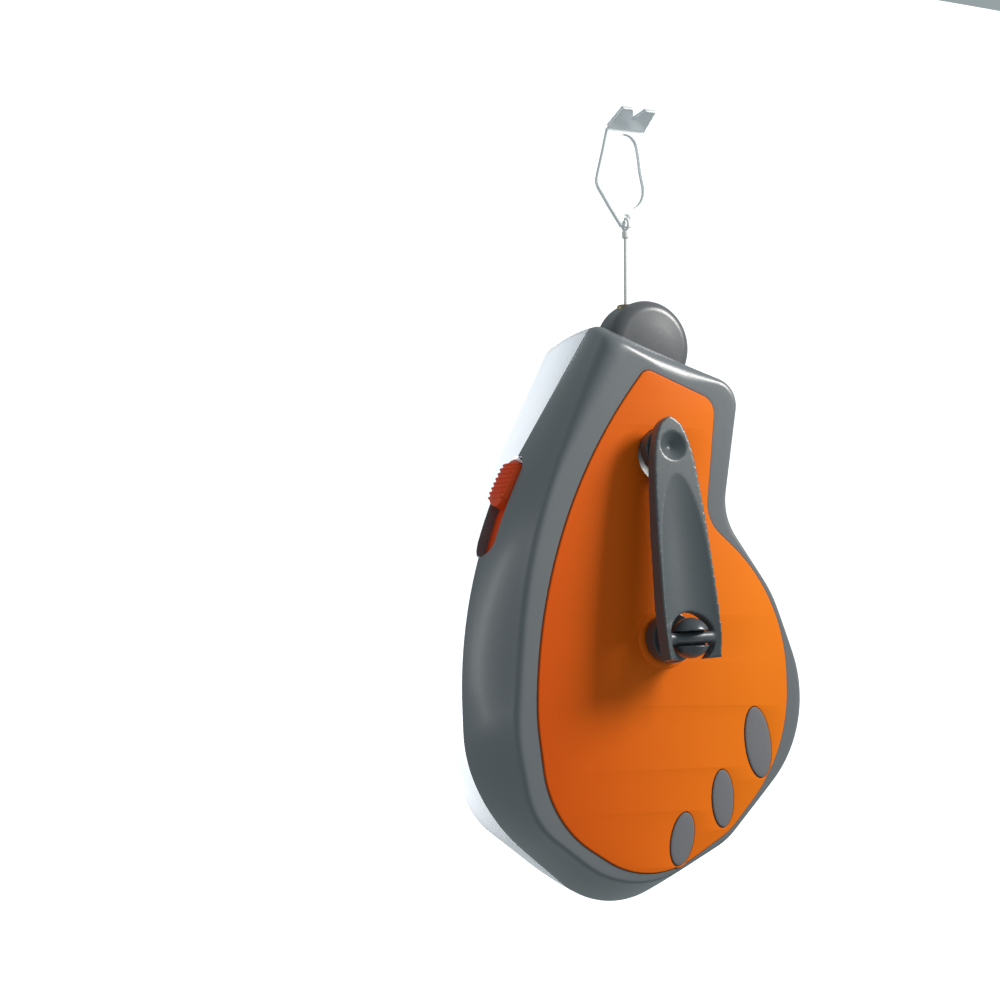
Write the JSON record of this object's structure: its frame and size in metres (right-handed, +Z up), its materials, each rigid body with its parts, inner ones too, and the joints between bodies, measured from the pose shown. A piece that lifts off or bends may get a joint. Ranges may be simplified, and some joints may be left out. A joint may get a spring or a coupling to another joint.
{
  "type": "chalk line reel",
  "caption": "Hand-held chalk line reel: teardrop casing with panels, fold-out crank and knob, sliding fill door, nose guide, line and stamped claw hook.",
  "frame": {"origin": "on the spool axis, on the flat back face", "axes": "+Z up along the drawn line to the hook, -Y out of the crank side, +X to the right seen from the crank side"},
  "size_m": [0.0982, 0.055, 0.2115],
  "materials": {
    "casing": "glossy moulded ABS with soft highlights",
    "panel": "satin moulded ABS, fine texture",
    "grip": "soft matt overmould",
    "nose": "glossy moulded ABS",
    "brass": "turned eyelet",
    "felt": "dense wool felt",
    "steel": "zinc plated",
    "seal": "thin black gasket",
    "bushing": "black acetal",
    "spool": "black moulded nylon",
    "line": "twisted cotton and polyester line",
    "hub": "moulded nylon",
    "crank": "satin moulded nylon",
    "knob": "satin moulded nylon",
    "door": "satin moulded ABS, ribbed pad",
    "hook_steel": "bright nickel plated stamping"
  },
  "bodies": {
    "casing": {"front_shell": "casing", "rear_shell": "casing", "front_panel": "panel", "rear_panel": "panel", "front_grip_pads": "grip", "rear_grip_pads": "grip", "nose_guide": "nose", "line_eyelet": "brass", "felt_wiper": "felt", "guide_pin": "steel", "case_gasket": "seal", "case_screws": "steel", "front_bushing": "bushing", "rear_bushing": "bushing"},
    "reel": {"spool_drum": "spool", "spool_flange": "spool", "wound_line": "line", "shaft_clip": "steel", "hub_shaft": "hub"},
    "crank": {"crank_arm": "crank", "knob_pin": "steel"},
    "knob": {"crank_knob": "knob"},
    "door": {"fill_door": "door"},
    "line": {"chalk_line": "line", "line_knot": "line", "line_hook": "hook_steel"}
  },
  "joints": [
    {"name": "reel_spin", "type": "hinge", "parent": "casing", "child": "reel", "pos_m": [0, -0.019, 0], "axis": [0, -1, 0], "continuous": true},
    {"name": "crank_fold", "type": "hinge", "parent": "reel", "child": "crank", "pos_m": [0, -0.0502, 0], "axis": [0.9986, 0, 0.0523], "range_deg": [0, 180]},
    {"name": "knob_spin", "type": "hinge", "parent": "crank", "child": "knob", "pos_m": [-0.00255, -0.04576, 0.04873], "axis": [0.0047, 0.9959, -0.0905], "continuous": true},
    {"name": "fill_door_slide", "type": "hinge", "parent": "casing", "child": "door", "pos_m": [0.069, -0.019, -0.0125], "axis": [0, -1, 0], "range_deg": [0, 6]},
    {"name": "line_pull", "type": "slide", "parent": "casing", "child": "line", "axis": [0, 0, 1], "range_m": [-0.018, 0.024]}
  ]
}
